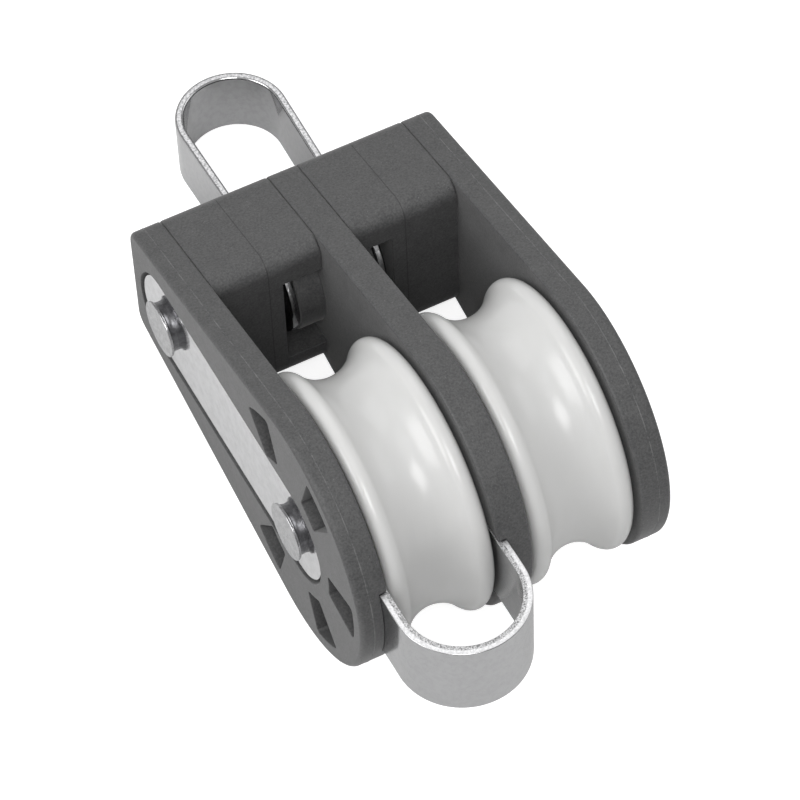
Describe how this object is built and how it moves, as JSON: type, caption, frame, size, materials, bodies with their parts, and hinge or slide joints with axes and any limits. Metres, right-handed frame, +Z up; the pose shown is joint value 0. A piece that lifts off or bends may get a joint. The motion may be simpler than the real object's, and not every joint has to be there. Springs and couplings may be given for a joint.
{
  "type": "double pulley block with eye and becket",
  "caption": "Pulley block with sheaves side by side between moulded cheeks, steel side straps, a fixed eye at the head and a becket at the tail.",
  "frame": {"origin": "centre of the block's footprint, on the surface that it lies on", "axes": "+X along the axle towards the cheek without the becket, +Y towards the head and its eye, +Z up; the block's long axis dips 11.9 degrees towards the eye, because it rests on the tails of its cheeks and the tip of its eye"},
  "size_m": [0.0666, 0.1456, 0.055],
  "materials": {
    "cheeks": "moulded glass-filled nylon, fine matte grain",
    "sheaves": "moulded acetal, satin gloss",
    "strips": "polished stainless steel strip",
    "pins": "turned stainless steel, riveted over"
  },
  "bodies": {
    "frame": {"left_cheek": "cheeks", "centre_cheek": "cheeks", "right_cheek": "cheeks", "left_spacer": "cheeks", "right_spacer": "cheeks", "left_bush": "pins", "right_bush": "pins", "left_strap": "strips", "right_strap": "strips", "head_eye": "strips", "becket": "strips", "head_pin": "pins", "axle_pin": "pins"},
    "left_sheave_body": {"left_sheave": "sheaves"},
    "right_sheave_body": {"right_sheave": "sheaves"}
  },
  "joints": [
    {"name": "left_sheave_spin", "type": "hinge", "parent": "frame", "child": "left_sheave_body", "pos_m": [-0.0143, -0.0265, 0.0275], "axis": [1, 0, 0], "continuous": true},
    {"name": "right_sheave_spin", "type": "hinge", "parent": "frame", "child": "right_sheave_body", "pos_m": [0.0143, -0.0265, 0.0275], "axis": [1, 0, 0], "continuous": true}
  ]
}
